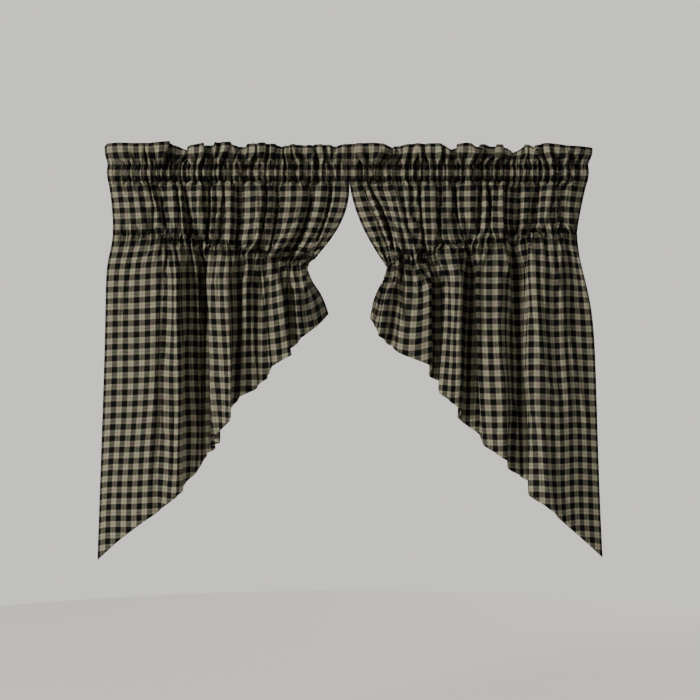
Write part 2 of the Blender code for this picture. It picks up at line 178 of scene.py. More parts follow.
# The excess cloth as waves. Where the folds use less length than the cloth has, three waves of 1, 2 and
# 4 gathers' width take up the rest. Near a sewn line the small one leads, and further off the wide ones.
# A wave's height is its width times the root of twice the spare share, over a full turn, up to its cap.
def excessWaves(rng, cloth, used, distance, phase):
    slack = gathering["slack"] * (1 - np.exp(-distance / gathering["foldReach"]))
    spare = np.sqrt(2 * np.clip(1 - (used + slack) ** 2, 0, gathering["spareMost"]))
    near = bell(distance, gathering["gatherReach"])
    away = distance / gathering["wideReach"]
    middle = (gathering["wideLeast"] + away * np.exp(1 - away)) * bell(away, 4)
    far = 1 - bell(distance, gathering["foldReach"])
    total = np.sqrt(near ** 2 + middle ** 2 + far ** 2) + 1e-6
    heightChange, driftChange = gathering["change"]
    wave = np.zeros_like(distance)
    for (count, cap, turn), share in zip(gathering["waves"], (near, middle, far)):
        length = gathering["length"] * count
        strength = 1 + gathering["variety"] * smoothNoise(rng, cloth, length * heightChange)
        offset = rng.uniform(0, 2 * math.pi)
        drift = turn * smoothNoise(rng, cloth, length * driftChange) * distance
        height = np.minimum(gathering["gain"] * length * spare / (2 * math.pi), cap) * share / total
        wave = wave + height * strength * pinchedWave(phase / count + offset + drift)
    return wave


# Move points by the wave along the cloth's own normal in the level plane, averaged over two columns.
def pushOut(across, out, wave):
    alongX = smoothAlong(np.gradient(across, axis=1), 2)
    alongY = smoothAlong(np.gradient(out, axis=1), 2)
    length = np.hypot(alongX, alongY) + 1e-9
    return across + wave * alongY / length, out - wave * alongX / length


# How the folds form and open.
drape = {
    "release": 0.042,          # below the shirring, how long the folds take to open
    "edgeReach": 0.035,        # how far in from a side edge that edge's own release counts
    "puff": 0.006,             # how far the yoke and the top of the skirt swell out
    "puffPower": 0.7,          # below 1, the yoke's swelling is fuller near its two lines
    "puffStart": 0.012,        # in the skirt, the swelling comes in over this length
    "puffReach": 0.090,        # and fades away over this one
    "shirredDepth": 0.40,      # share of a skirt fold's depth left on the shirred line
    "shirredRise": 3,          # power with which the skirt's folds come in as the yoke nears that line
    "rodDepth": 0.40,          # share of a yoke fold's depth left at the rod pocket
    "yokeFade": 4,             # power with which that share ends on the shirred line
    "creaseRadius": 0.0075,    # how softly the cloth turns, measured along the cloth
    "tuckRadius": 0.0045,      # the same at the rim of a tuck
    "sewnRadius": 0.075,       # over this length the tucks are spread out on a sewn line
    "yokeEase": 1.08,          # the yoke's cloth is this much longer than its way down
    "easeReach": 0.02,         # that ease ends over this length above the shirring
    "crown": 0.10,             # how far a flat between two tucks bulges, as a share of its width
    "crownAt": (0.30, 0.65),   # where on the flat, as shares of its width
    "rodReach": 0.009,         # a tuck is fully formed this far from the rod pocket
    "shirringReach": 0.016,    # and this far from the shirring
    "wander": 0.0025,          # how far a crease strays sideways on its way down
    "wanderLength": (0.045, 0.090),    # length of one radian of that
    "breath": 0.10,            # how much a fold's depth comes and goes on its way down
    "breathLength": (0.050, 0.110),    # length of one radian of that
    "sway": 1.5,               # above 1, a crease drifts sideways mostly in its lower part
    "leastFall": 0.5,          # a step of cloth falls by at least this share of its length
    "handFull": 0.35,          # a listed crease is full this far from its middle
    "handFade": 0.25,          # and fades over this share of its length beyond
    "sewnFade": 0.010,         # none of these creases reaches closer to a sewn line than about this
}


# Length from the shirring to the hem: a straight slanting cut with a drooping outer point.
def skirtLength(cloth):
    straight = cut["skirtInner"] + cut["hemSlope"] * (cut["width"] - cloth)
    return straight + cut["tipDrop"] * np.exp(-cloth / cut["tipReach"])


# Height of the shirred line: it falls from the outer side edge as a power of the cloth's place.
def shirringHeight(panel, cloth):
    return panel["shirringOuter"] - panel["shirringFall"] * (cloth / cut["width"]) ** panel["shirringBend"]


# Two more rows on the flat between two creases, where it bulges a little.
def crown(start, end):
    start, end = np.array(start, dtype=float), np.array(end, dtype=float)
    rise = np.zeros(len(start))
    rise[-1] = drape["crown"] * (start[1] - end[1])
    return [start + (end - start) * share + rise for share in drape["crownAt"]]


# Creases made by a row of tucks: each gives its two rims and its bottom. The bottom is as deep as the
# hidden cloth allows: half the root of its length squared less the gap squared, times the fullness.
# Returns the cloth, one array for each place column, and how far out.
def tuckCreases(tucks, places, outer, inner, fullness=1.0):
    rows = [[0, *outer]]
    for tuck in tucks:
        cloth, take = tuck[:2]
        middles = tuck[2:2 + places]
        gap, outerRim, innerRim = tuck[2 + places:5 + places]
        rows += crown(rows[-1], [cloth - 0.5 * take, *[place + 0.5 * gap for place in middles], outerRim])
        bottom = 0.5 * (outerRim + innerRim) - 0.5 * fullness * math.sqrt(take ** 2 - gap ** 2)
        for step, level in ((-1, outerRim), (0, bottom), (1, innerRim)):
            rows.append([cloth + 0.5 * step * take, *[place - 0.5 * step * gap for place in middles], level])
    end = [cut["width"] / mm, *inner]
    return columnsOf([*rows, *crown(rows[-1], end), end])


# The yoke: each crease runs on a quadratic through its places at the rod, at half height and on the
# shirred line. Near both sewn lines the tucks give way to a softened version of the same creases.
def yokeSurface(panel, cloth, shares):
    keys, rod, waist, depth = tuckCreases(panel["tucks"], 2, panel["yokeOuter"], panel["yokeInner"])
    skirtKeys, gathers, _, _, outUpper, _ = columnsOf(panel["skirt"])
    weights = creaseWeights(keys, cloth, drape["tuckRadius"])
    softWeights = creaseWeights(keys, cloth, drape["sewnRadius"])
    skirtWeights = creaseWeights(skirtKeys, cloth, drape["creaseRadius"])
    tuckCloth = np.array([tuck[0] for tuck in panel["tucks"]]) * mm
    footCloth, foot = [0], [gathers[0]]
    tuckPlaces = np.interp(tuckCloth, skirtKeys, gathers)
    for (middle, take, _, _, gap, *_), place in zip(panel["tucks"], tuckPlaces):
        footCloth += [(middle - take / 2) * mm, (middle + take / 2) * mm]
        foot += [place + 0.5 * gap * mm, place - 0.5 * gap * mm]
    foot = np.interp(keys, footCloth + [cut["width"]], foot + [gathers[-1]])
    down = shares[:, None]
    atRod, atHalf, atFoot = 2 * (down - 0.5) * (down - 1), 4 * down * (1 - down), 2 * down * (down - 0.5)
    sharp = (weights @ rod) * atRod + (weights @ waist) * atHalf + (weights @ foot) * atFoot
    soft = (softWeights @ rod) * atRod + (softWeights @ waist) * atHalf + (skirtWeights @ gathers) * atFoot
    top = -cut["pocketHalf"]
    drop = top - shirringHeight(panel, cloth)
    height = top - drop * down
    formed = 1 - bell(drop * down, drape["rodReach"])
    formed = formed * (1 - bell(drop * (1 - down), drape["shirringReach"]))
    across = soft + (sharp - soft) * formed
    flatOut = (softWeights @ depth) * drape["rodDepth"]
    out = flatOut * (1 - down ** drape["yokeFade"]) + ((weights @ depth) - flatOut) * formed
    out = out + (skirtWeights @ outUpper) * drape["shirredDepth"] * down ** drape["shirredRise"]
    out = out + drape["puff"] * np.sin(math.pi * down) ** drape["puffPower"]
    return across, out, height


# A slow sine down each crease, with a length and a start of its own, drawn in this order.
def slowWave(rng, down, lengths):
    count = down.shape[1]
    return np.sin(down / rng.uniform(*lengths, count) + rng.uniform(0, 6.28, count))


# The skirt: each crease goes from its place on the gathers to its hanging place, then in a straight
# line to the hem, straying a little. Heights follow from the length of cloth that is left to fall.
def skirtSurface(panel, rng, cloth, shares):
    keys, gathers, upper, hem, outUpper, outHem = columnsOf(panel["skirt"])
    down = skirtLength(keys)[None, :] * shares[:, None]
    opening = (drape["release"]
               + (panel["outerRelease"] - drape["release"]) * np.exp(-keys / drape["edgeReach"])
               + (panel["innerRelease"] - drape["release"]) * np.exp((keys - keys[-1]) / drape["edgeReach"]))
    release = bell(down, opening)
    stray = slowWave(rng, down, drape["wanderLength"]) * (1 - release) * drape["wander"]
    stray[:, [0, -1]] = 0
    across = upper + (hem - upper) * shares[:, None] ** drape["sway"] + (gathers - upper) * release + stray
    out = (outUpper + (outHem - outUpper) * shares[:, None]) * (1 - (1 - drape["shirredDepth"]) * release)
    breath = 1 + drape["breath"] * slowWave(rng, down, drape["breathLength"])
    weights = creaseWeights(keys, cloth, drape["creaseRadius"])
    across = across @ weights.T
    out = (out * breath) @ weights.T
    fallen = skirtLength(cloth) * shares[:, None]
    swell = (1 - np.exp(-fallen / drape["puffStart"])) * np.exp(-fallen / drape["puffReach"])
    out = out + drape["puff"] * swell
    step = np.diff(shares)[:, None] * skirtLength(cloth)
    lean = np.diff(across, axis=0) ** 2 + np.diff(out, axis=0) ** 2
    fall = np.sqrt(np.maximum(step ** 2 - lean, (drape["leastFall"] * step) ** 2))
    return across, out, shirringHeight(panel, cloth) - runningSum(fall)


settling = {
    "rounds": 80,
    "hold": 0.05,              # share of the way back to its planned place that each point takes per round
    "edgeHold": 0.5,           # the same at the side edges and the hem
    "besideHold": 0.3,         # and in the rows beside a sewn line
    "shear": 0.5,              # stiffness along the diagonals, where a thread's own is 1
    "bendAcross": 0.02,        # stiffness against bends, across and down
    "bendDown": 0.10,
}


# Let the cloth settle. Neighbouring points are pulled to their distance in the flat cloth, along both
# threads and both diagonals, and a weaker pull on every fourth point keeps it from creasing sharply.
# Each point is also drawn back a little towards its planned place, fully where the cloth is sewn. The
# pairs of one kind are moved in turns that share no point.
def settle(points, flat, hold):
    planned = points.copy()
    rows, columns = points.shape[:2]
    pairs = []
    for rowStep, columnStep, rowPhases, columnPhases, stiffness in (
            (0, 1, 1, 2, 1.0), (1, 0, 2, 1, 1.0),
            (1, 1, 2, 1, settling["shear"]), (1, -1, 2, 1, settling["shear"]),
            (0, 4, 1, 8, settling["bendAcross"]), (4, 0, 8, 1, settling["bendDown"])):
        for rowPhase, columnPhase in itertools.product(range(rowPhases), range(columnPhases)):
            r = np.arange(rowPhase, rows - rowStep, rowPhases)
            c = np.arange(columnPhase + max(0, -columnStep), columns - max(0, columnStep), columnPhases)
            first, second = np.ix_(r, c), np.ix_(r + rowStep, c + columnStep)
            pairs.append((first, second, np.linalg.norm(flat[first] - flat[second], axis=-1), stiffness))
    for _ in range(settling["rounds"]):
        for first, second, rest, stiffness in pairs:
            gap = points[second] - points[first]
            length = np.sqrt((gap ** 2).sum(-1)) + 1e-9
            move = (0.5 * stiffness * (1 - rest / length))[..., None] * gap
            points[first] += move
            points[second] -= move
        points += (planned - points) * hold[..., None]
    return points


# How far out the listed creases push the cloth: for each a smooth bell across its line, easing off
# towards both ends.
def handCreases(creases, across, height):
    total = np.zeros_like(across)
    for row in creases:
        x1, z1, x2, z2, rise, width = np.array(row) * mm
        length = math.hypot(x2 - x1, z2 - z1)
        along = ((across - x1) * (x2 - x1) + (height - z1) * (z2 - z1)) / length
        beside = ((across - x1) * (z2 - z1) - (height - z1) * (x2 - x1)) / length
        pastEnd = np.maximum(0, np.abs(along - 0.5 * length) - drape["handFull"] * length)
        total += rise * bell(beside, width) * bell(pastEnd, drape["handFade"] * length)
    return total


# A sheet of cloth from arrays of distance from the middle, out and height, with its own UV map in
# metres of cloth and, as an attribute, how near each point is to a sewn line.
def clothMesh(name, side, across, out, height, u, v, sewn):
    rows, columns = across.shape
    points = np.stack([side * across, -out, height], axis=-1).reshape(-1, 3)
    index = np.arange(rows * columns).reshape(rows, columns)
    corners = index[:-1, :-1], index[1:, :-1], index[1:, 1:], index[:-1, 1:]
    quads = np.stack(corners, axis=-1).reshape(-1, 4)
    if side < 0:
        quads = quads[:, ::-1]
    data = bpy.data.meshes.new(name)
    data.vertices.add(len(points))
    data.vertices.foreach_set("co", points.ravel())
    data.loops.add(quads.size)
    data.loops.foreach_set("vertex_index", quads.ravel())
    data.polygons.add(len(quads))
    data.polygons.foreach_set("loop_start", np.arange(0, quads.size, 4))
    data.polygons.foreach_set("use_smooth", np.ones(len(quads), dtype=bool))
    data.update(calc_edges=True)
    layer = data.uv_layers.new(name="cloth")
    uv = np.stack([np.broadcast_to(part, across.shape) for part in (u, v)], axis=-1).reshape(-1, 2)
    layer.data.foreach_set("uv", uv[quads.ravel()].ravel())
    nearness = data.attributes.new("sewn", "FLOAT", "POINT")
    nearness.data.foreach_set("value", sewn.astype(np.float32).ravel())
    data.validate()
    thing = bpy.data.objects.new(name, data)
    bpy.context.scene.collection.objects.link(thing)
    wall = thing.modifiers.new("thickness", "SOLIDIFY")
    wall.thickness = cut["clothThick"]
    wall.offset = 0
    return thing


# Turn the hem up behind the cloth: more rows, which follow the cloth back up, a little behind it.
def turnHem(across, out, height, v):
    rows = []
    for up in np.linspace(0, cut["hemWidth"], mesh["hemRows"]):
        row = np.array([[np.interp(at, line, values) for at, line, values in zip(v[-1] - up, v.T, part.T)]
                        for part in (across, out, height)])
        row[1] -= cut["hemBehind"] * min(1, 0.5 + 0.5 * up / cut["hemTurn"])
        rows.append([*row, v[-1] + up])
    return [np.concatenate([part, more]) for part, more in zip((across, out, height, v), zip(*rows))]


# The two panels. "seed" starts a panel's random numbers. "lap" is how far its heading's inner end laps
# behind the other one, and the releases are those at the two side edges, all in metres.
# The tables are in mm, with one row for each crease from the outer side edge inwards. Skirt rows: cloth,
# then the distance from the middle at the gathers, under them and at the hem, then how far out it is under
# them and at the hem. Tuck rows, in the yoke: cloth at the tuck's middle, cloth it hides, distance from the
# middle at the rod and halfway down, width of the gap that shows, how far out its outer and its inner rim
# lie. At the ruffle's top edge: the same with one place. The ends: place or places, and out. Top edge rows:
# place and rise. Crease rows, placed across the folds: distance from the middle and height at each
# end, how far out (a ridge) or back (a trough), and how wide.
leftPanel = {
    "name": "left", "side": -1, "seed": 11, "lap": 0.0015,
    "shirringOuter": -0.134, "shirringFall": 0.070, "shirringBend": 1.2,
    "outerRelease": 0.058, "innerRelease": 0.064,
    "skirt": (
        (0, 522, 539, 560, -26, -30), (46, 478, 494, 516, -13, -16), (126, 409, 416, 440, 4, 3),
        (144, 406, 408, 424, -10, -2), (166, 399, 395, 405, 7, 4), (200, 386, 374, 375, 21, 17),
        (230, 370, 370, 368, -5, -6), (262, 356, 355, 352, -30, -28), (300, 345, 330, 328, -42, -38),
        (330, 333, 319, 320, -54, -50), (376, 320, 291, 294, -40, -36), (440, 304, 313, 296, 8, 8),
        (468, 284, 291, 276, 22, 20), (498, 262, 263, 257, 33, 28), (537, 250, 262, 259, -5, -12),
        (562, 242, 238, 252, -28, -26), (594, 229, 229, 238, 4, -14), (624, 204, 211, 205, 8, -8),
        (651, 194, 196, 192, -16, -14), (671, 189, 185, 178, -18, -18), (711, 183, 186, 173, 16, 18),
        (760, 148, 145, 134, 14, 14), (791, 139, 137, 130, -14, -12), (806, 132, 126, 118, -12, -10),
        (831, 123, 123, 104, 16, 16), (868, 101, 90, 77, 14, 14), (914, 94, 62, 44, -20, -24),
    ),
    "yokeOuter": (532, 523, -8), "yokeInner": (0, 18, -2),
    "tucks": (
        (110, 24, 437, 428, 9, 0, 7), (153, 40, 420, 411, 11, 9, 1), (225, 38, 379, 372, 10, 4, 7),
        (285, 64, 362, 356, 12, 10, -2), (392, 66, 310, 308, 12, 3, 4), (470, 38, 276, 275, 11, 6, 4),
        (533, 50, 247, 245, 18, 9, -3), (631, 46, 183, 185, 11, 4, 4), (686, 34, 161, 163, 10, 7, 1),
        (792, 50, 84, 94, 15, 3, 1), (863, 30, 40, 55, 9, 5, 1),
    ),
    "top": (539, -3),
    "topTucks": (
        (104, 24, 449, 9, 3, -1), (192, 44, 391, 8, 8, -8), (279, 70, 355, 9, -12, -4),
        (364, 30, 313, 8, 4, -2), (396, 20, 301, 5, 0, 0), (425, 24, 289, 6, 5, -1),
        (478, 38, 260, 10, 7, 0), (527, 36, 239, 10, 6, 0), (576, 36, 214, 15, 5, -3),
        (634, 30, 178, 9, 6, 0), (673, 22, 160, 5, 6, 1), (711, 22, 140, 7, 5, 0),
        (742, 20, 123, 9, 4, -2), (797, 26, 84, 11, 5, -2), (837, 22, 57, 13, 5, -2),
        (871, 22, 32, 13, 5, -3),
    ),
    "topEdge": (
        (539, -5), (533, 2), (504, 3), (473, 2), (438, 3), (412, 5), (393, 7), (389, 0), (377, -3),
        (358, -14), (350, -1), (337, 0), (319, 3), (315, -2), (302, -2), (297, 5), (262, 5), (248, -4),
        (231, -6), (225, 1), (192, 4), (165, 0), (148, -6), (126, 0), (97, -3), (77, -1), (51, 0),
        (29, -4), (0, 1),
    ),
    "creases": (
        (344, -137, 330, -335, 26, 5), (282, -148, 286, -280, -6, 5), (476, -180, 498, -280, -5, 5),
        (498, -280, 509, -368, -4, 5), (399, -368, 427, -643, -4, 8), (227, -160, 227, -310, 11, 5),
        (388, -150, 380, -379, 5, 6), (302, -170, 311, -379, 4, 7), (181, -196, 187, -324, 4, 6),
        (156, -225, 156, -379, 5, 6), (114, -203, 104, -357, 8, 4), (98, -203, 80, -335, 8, 4),
        (128, -203, 138, -368, -6, 4), (408, -489, 416, -643, -4, 4), (397, -456, 403, -654, -4, 4),
        (383, -456, 386, -643, -4, 4), (66, -150, 42, -250, -5, 6), (97, -170, 84, -290, 5, 6),
        (434, -40, 414, -110, 7, 4), (424, -40, 404, -110, -7, 4), (470, -35, 446, -120, 4, 5),
        (518, -60, 494, -125, -4, 5), (371, -40, 365, -115, 6, 3), (329, -45, 331, -125, 6, 3),
        (297, -40, 300, -125, 6, 3), (250, -40, 246, -125, 5, 3), (206, -35, 196, -130, 5, 3),
    ),
}

rightPanel = {
    "name": "right", "side": 1, "seed": 29, "lap": 0,
    "shirringOuter": -0.130, "shirringFall": 0.079, "shirringBend": 1.4,
    "outerRelease": 0.135, "innerRelease": 0.048,
    "skirt": (
        (0, 504, 542, 565, -30, -34), (50, 480, 494, 521, -16, -17), (100, 450, 456, 478, 1, 0),
        (145, 418, 421, 441, 23, 19), (168, 402, 402, 421, 22, 19), (188, 388, 385, 402, 10, 9),
        (230, 372, 391, 404, -26, -24), (256, 360, 372, 380, -34, -29), (292, 346, 350, 358, -6, -8),
        (328, 330, 334, 344, 24, 20), (356, 309, 306, 320, 18, 16), (386, 291, 274, 293, 10, 9),
        (430, 277, 288, 288, -27, -24), (461, 267, 271, 262, -38, -32), (494, 256, 257, 244, -26, -24),
        (545, 245, 245, 236, 23, 20), (568, 220, 228, 220, 22, 20), (592, 197, 212, 207, 9, 8),
        (633, 181, 215, 204, -24, -20), (667, 167, 185, 176, -26, -22), (716, 150, 176, 172, 18, 16),
        (747, 135, 148, 141, 22, 20), (776, 121, 120, 110, 12, 12), (806, 108, 110, 93, -14, -12),
        (836, 100, 94, 75, 8, 6), (872, 92, 80, 62, -10, -12), (914, 86, 62, 47, -24, -24),
    ),
    "yokeOuter": (527, 513, -10), "yokeInner": (0, 27, -2),
    "tucks": (
        (69, 44, 471, 463, 14, 3, 4), (157, 56, 420, 415, 15, 6, -14), (226, 24, 379, 377, 10, -4, -24),
        (289, 44, 345, 342, 10, -2, 12), (360, 46, 311, 309, 12, 7, 5), (421, 54, 289, 287, 15, 4, 5),
        (509, 40, 237, 238, 10, 5, -5), (588, 56, 198, 199, 16, 4, 7), (672, 54, 154, 157, 15, 6, -2),
        (818, 44, 46, 80, 12, 2, 4), (861, 30, 32, 67, 9, 5, 1),
    ),
    "top": (541, -27),
    "topTucks": (
        (153, 52, 417, 11, 1, 6), (211, 30, 392, 9, 0, -2), (264, 36, 365, 9, -1, 0),
        (308, 30, 347, 7, -4, 8), (345, 24, 332, 4, 4, 6), (385, 34, 314, 11, 2, -2),
        (436, 40, 289, 13, 3, 2), (518, 30, 232, 11, 5, -8), (566, 36, 210, 5, -8, 3),
        (634, 36, 175, 7, 3, -4), (690, 28, 147, 6, 2, 1), (756, 34, 105, 13, 2, -4),
        (868, 40, 25, 6, 2, 0),
    ),
    "topEdge": (
        (541, -5), (535, -3), (478, -2), (456, 1), (438, 3), (423, 3), (420, -4), (412, -11), (403, -5),
        (394, 0), (386, -4), (377, -11), (363, -17), (350, -10), (341, -6), (335, 0), (326, -3),
        (311, -6), (305, -1), (297, 1), (292, -2), (285, -11), (278, -6), (271, 1), (258, 3), (238, 0),
        (231, -8), (224, -12), (217, -6), (211, 0), (196, 2), (156, 2), (130, 0), (112, -3), (97, -7),
        (88, -4), (77, 1), (51, 3), (0, 1),
    ),
    "creases": (
        (432, -148, 465, -258, 6, 6), (465, -258, 491, -390, 6, 6), (491, -390, 515, -500, 5, 6),
        (515, -500, 531, -566, 3, 6), (216, -214, 216, -280, -5, 4), (436, -463, 458, -628, -4, 6),
        (458, -628, 480, -725, -4, 6), (278, -15, 304, -70, 5, 5), (304, -70, 295, -97, 5, 5),
        (295, -97, 304, -140, 5, 5), (119, -170, 123, -310, -20, 5), (99, -180, 103, -300, 12, 8),
        (352, -160, 352, -380, 4, 6), (313, -160, 306, -420, 4, 5), (130, -190, 137, -300, 5, 6),
        (92, -190, 99, -260, -5, 5), (335, -40, 340, -120, 5, 3), (398, -40, 390, -115, 5, 3),
        (440, -40, 428, -115, 5, 4), (478, -45, 462, -110, 5, 4), (452, -40, 436, -110, -5, 4),
        (240, -40, 244, -120, 5, 3), (196, -40, 202, -120, 5, 3), (150, -40, 158, -140, 5, 3),
        (260, -165, 262, -560, -11, 9), (282, -165, 286, -620, 6, 7), (362, -150, 366, -560, -12, 8),
        (384, -150, 392, -640, 6, 6), (196, -170, 190, -440, -8, 7),
    ),
}


# Phase and waves of the gathers on the rod's stitched lines. Panel and heading draw the same ones.
def rodGathers(panel, cloth, used, distance):
    phase = gatherPhase(np.random.default_rng(panel["seed"] + 1), cloth)
    return phase, excessWaves(np.random.default_rng(panel["seed"] + 2), cloth, used, distance, phase)


# A panel's cloth from the rod pocket down: yoke and skirt with their gathers, settled, creased and hemmed.
def buildPanel(panel, material):
    rng = np.random.default_rng(panel["seed"])
    cloth = np.linspace(0, cut["width"], mesh["columns"] + 1)
    steps = np.linspace(0, 1, mesh["yokeRows"] + 1)
    crowded = 0.5 - 0.5 * np.cos(math.pi * steps)
    yokeShares = (1 - mesh["yokeCrowding"]) * steps + mesh["yokeCrowding"] * crowded
    skirtShares = np.linspace(0, 1, mesh["skirtRows"] + 1) ** mesh["skirtCrowding"]
    yoke = yokeSurface(panel, cloth, yokeShares)
    skirt = skirtSurface(panel, rng, cloth, skirtShares)
    across, out, height = (np.concatenate([above[:-1], below]) for above, below in zip(yoke, skirt))
    yokeFall = np.abs(yoke[2] - yoke[2][0])
    belowShirring = skirtShares[:, None] * skirtLength(cloth)
    toShirring = np.concatenate([yokeFall[-1] - yokeFall[:-1], belowShirring])
    toRod = np.concatenate([yokeFall[:-1], yokeFall[-1] + belowShirring])
    used = usedLength(across, out, cloth)
    shirringPhase = gatherPhase(rng, cloth)
    rodPhase, rodWaves = rodGathers(panel, cloth, used, toRod)
    shirringWaves = excessWaves(rng, cloth, used, toShirring, shirringPhase)
    rodShare = 1 / (1 + np.exp((toRod - toShirring) / gathering["handOver"]))
    edge = sideFade(cloth, gathering["sideFade"])
    across, out = pushOut(across, out, (rodWaves * rodShare + shirringWaves * (1 - rodShare)) * edge)
    sewnLines = ((shirringPhase, toShirring, gathering["shirringPinches"]),
                 (rodPhase, toRod, gathering["rodPinches"]))
    lean = sum(leaning(phase, distance, gathering["pinchReach"]) for phase, distance, _ in sewnLines)
    across = across + gathering["sideways"] * edge * lean

    # The flat cloth: its way down follows the planned surface, with some ease in the yoke.
    path = np.sqrt(np.diff(across, axis=0) ** 2 + np.diff(height, axis=0) ** 2)
    fallen = smoothAlong(runningSum(path), mesh["evening"])
    ease = np.minimum(1, toShirring / drape["easeReach"]) * (toRod < yokeFall[-1])
    ease = 1 + (drape["yokeEase"] - 1) * ease
    fallen = runningSum(np.diff(fallen, axis=0) * ease[1:])
    v = cut["ruffleTop"] + cut["pocketHalf"] + fallen
    flat = np.stack([np.broadcast_to(cloth, fallen.shape), fallen], axis=-1)
    hold = np.full(across.shape, settling["hold"])
    shirred = mesh["yokeRows"]
    hold[[0, shirred]] = 1
    hold[[1, shirred - 1, shirred + 1]] = settling["besideHold"]
    hold[-1] = settling["edgeHold"]
    hold[:, [0, -1]] = np.maximum(hold[:, [0, -1]], settling["edgeHold"])
    points = settle(np.stack([across, out, height], axis=-1), flat, hold)
    across, out, height = points[..., 0], points[..., 1], points[..., 2]

    sewn = np.minimum(1, toShirring / drape["sewnFade"]) * np.minimum(1, toRod / drape["sewnFade"])
    out = out + handCreases(panel["creases"], across, height) * sewn
    out = out + gathering["pinch"] * edge * sum(pinches(*line) for line in sewnLines)
    closeness = edge * sum(bell(distance, gathering["puckerReach"]) for _, distance, _ in sewnLines)
    across, out, height, v = turnHem(across, out, height, v)
    closeness = np.pad(closeness, ((0, len(across) - len(closeness)), (0, 0)))
    thing = clothMesh(panel["name"] + "_swag_cloth", panel["side"], across, out, height, cloth, v, closeness)
    thing.data.materials.append(material)
    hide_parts(panel["name"] + "_panel")
    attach(thing, "root")
    print(panel["name"], "swag cloth", len(thing.data.polygons), "faces")


# Ruffle and rod pocket.
heading = {
    "pocketRows": 12, "ruffleRows": 15,
    "ruffleDepth": 0.55,       # share of its full depth that a tuck keeps at the ruffle's top edge
    "formReach": 0.45,         # the ruffle's own folds take shape over this share of its height
    "pocketSwell": 0.0090,     # how far each layer swells away from the rod's axis
    "layerGap": 0.0007,        # and how far it is from it elsewhere
    "pocketCalm": 0.45,        # share of the waves' height that is lost halfway up the pocket
    "sideFade": 0.030,         # pinches and puckers end towards a side edge over this length
    "leanReach": 0.016,        # how far from a stitched line the gathers lean over sideways
    "lapReach": 0.012,         # length of cloth at the inner end that laps behind the other heading
    "lapBack": 1.8,            # how far back it goes, as a share of how far it laps
}


# The strip of cloth is folded over at the top edge. Its rows go from the sewn back edge up the back, over
# the fold and down the front. Height and layer follow the row.
def headingRows():
    half, top = cut["pocketHalf"], cut["ruffleTop"]
    turn = np.linspace(0, math.pi, heading["pocketRows"] + 1)
    pocketUp = -half + 2 * half * (0.5 - 0.5 * np.cos(turn))
    backUp = np.concatenate([pocketUp[:-1], np.linspace(half, top, heading["ruffleRows"] + 1)])
    return np.concatenate([backUp, backUp[::-1]]), np.repeat([-1.0, 1.0], len(backUp))


# A heading: on the stitched lines the cloth lies as the yoke's softened tucks do, and up the ruffle it goes
# over to the top edge's own tucks. The edge rises with the square of the height, and the pocket's two layers
# swell apart as a parabola between its lines.
def buildHeading(panel, material):
    cloth = np.linspace(0, cut["width"], mesh["headingColumns"] + 1)
    level, layer = headingRows()
    half, top = cut["pocketHalf"], cut["ruffleTop"]
    keys, rod, _, depth = tuckCreases(panel["tucks"], 2, panel["yokeOuter"], panel["yokeInner"])
    softWeights = creaseWeights(keys, cloth, drape["sewnRadius"])
    topKeys, edge, lean = tuckCreases(panel["topTucks"], 1, panel["top"], (0, 0), heading["ruffleDepth"])
    topWeights = creaseWeights(topKeys, cloth, drape["tuckRadius"])
    place, rise = columnsOf(panel["topEdge"][::-1])
    upShare = np.clip((level - half) / (top - half), 0, 1)[:, None]
    formed = 1 - bell(upShare, heading["formReach"])
    onRod, onEdge = softWeights @ rod, topWeights @ edge
    across = onRod + (onEdge - onRod) * formed
    height = level[:, None] + np.interp(onEdge, place, rise) * upShare ** 2
    out = (softWeights @ depth) * drape["rodDepth"] * np.clip(-level[:, None] / half, 0, 1)
    out = out + (topWeights @ lean) * formed
    toStitch = np.broadcast_to(np.abs(np.abs(level[:, None]) - half), across.shape)
    inPocket = np.clip(1 - (level[:, None] / half) ** 2, 0, 1)
    rodPhase, wave = rodGathers(panel, cloth, usedLength(across, out, cloth), toStitch)
    wave = wave * sideFade(cloth, gathering["sideFade"]) * (1 - heading["pocketCalm"] * inPocket)
    across, out = pushOut(across, out, wave)
    fade = sideFade(cloth, heading["sideFade"])
    across = across + gathering["sideways"] * fade * leaning(rodPhase, toStitch, heading["leanReach"])
    out = out + gathering["pinch"] * fade * pinches(rodPhase, toStitch, gathering["rodPinches"])
    out = out + layer[:, None] * (heading["pocketSwell"] * inPocket + heading["layerGap"])
    lap = panel["lap"] * bell(cut["width"] - cloth, heading["lapReach"])
    across = np.maximum(across, cut["innerGap"]) - lap
    out = out - heading["lapBack"] * lap
    v = np.where(layer > 0, top - level, level - top)[:, None]
    closeness = bell(toStitch, gathering["puckerReach"]) * fade
    thing = clothMesh(
        panel["name"] + "_ruffle_and_pocket", panel["side"], across, out, height, cloth, v, closeness)
    thing.data.materials.append(material)
    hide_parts(panel["name"] + "_heading")
    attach(thing, "root")
    print(panel["name"], "heading", len(thing.data.polygons), "faces")


# A shader node group. Inputs are a name, a kind and a value, outputs a name and a kind.
def newGroup(name, inputs, outputs):
    group = bpy.data.node_groups.new(name, "ShaderNodeTree")
    for label, kind, value in inputs:
        socket = group.interface.new_socket(name=label, in_out="INPUT", socket_type=kind)
        if value is not None:
            socket.default_value = value
    for label, kind in outputs:
        group.interface.new_socket(name=label, in_out="OUTPUT", socket_type=kind)
    return group, group.nodes.new("NodeGroupInput"), group.nodes.new("NodeGroupOutput")


def mathNode(tree, operation, first, second=None):
    node = tree.nodes.new("ShaderNodeMath")
    node.operation = operation
    for socket, value in zip(node.inputs, (first, second)):
        if isinstance(value, (int, float)):
            socket.default_value = value
        elif value is not None:
            tree.links.new(value, socket)
    return node.outputs[0]


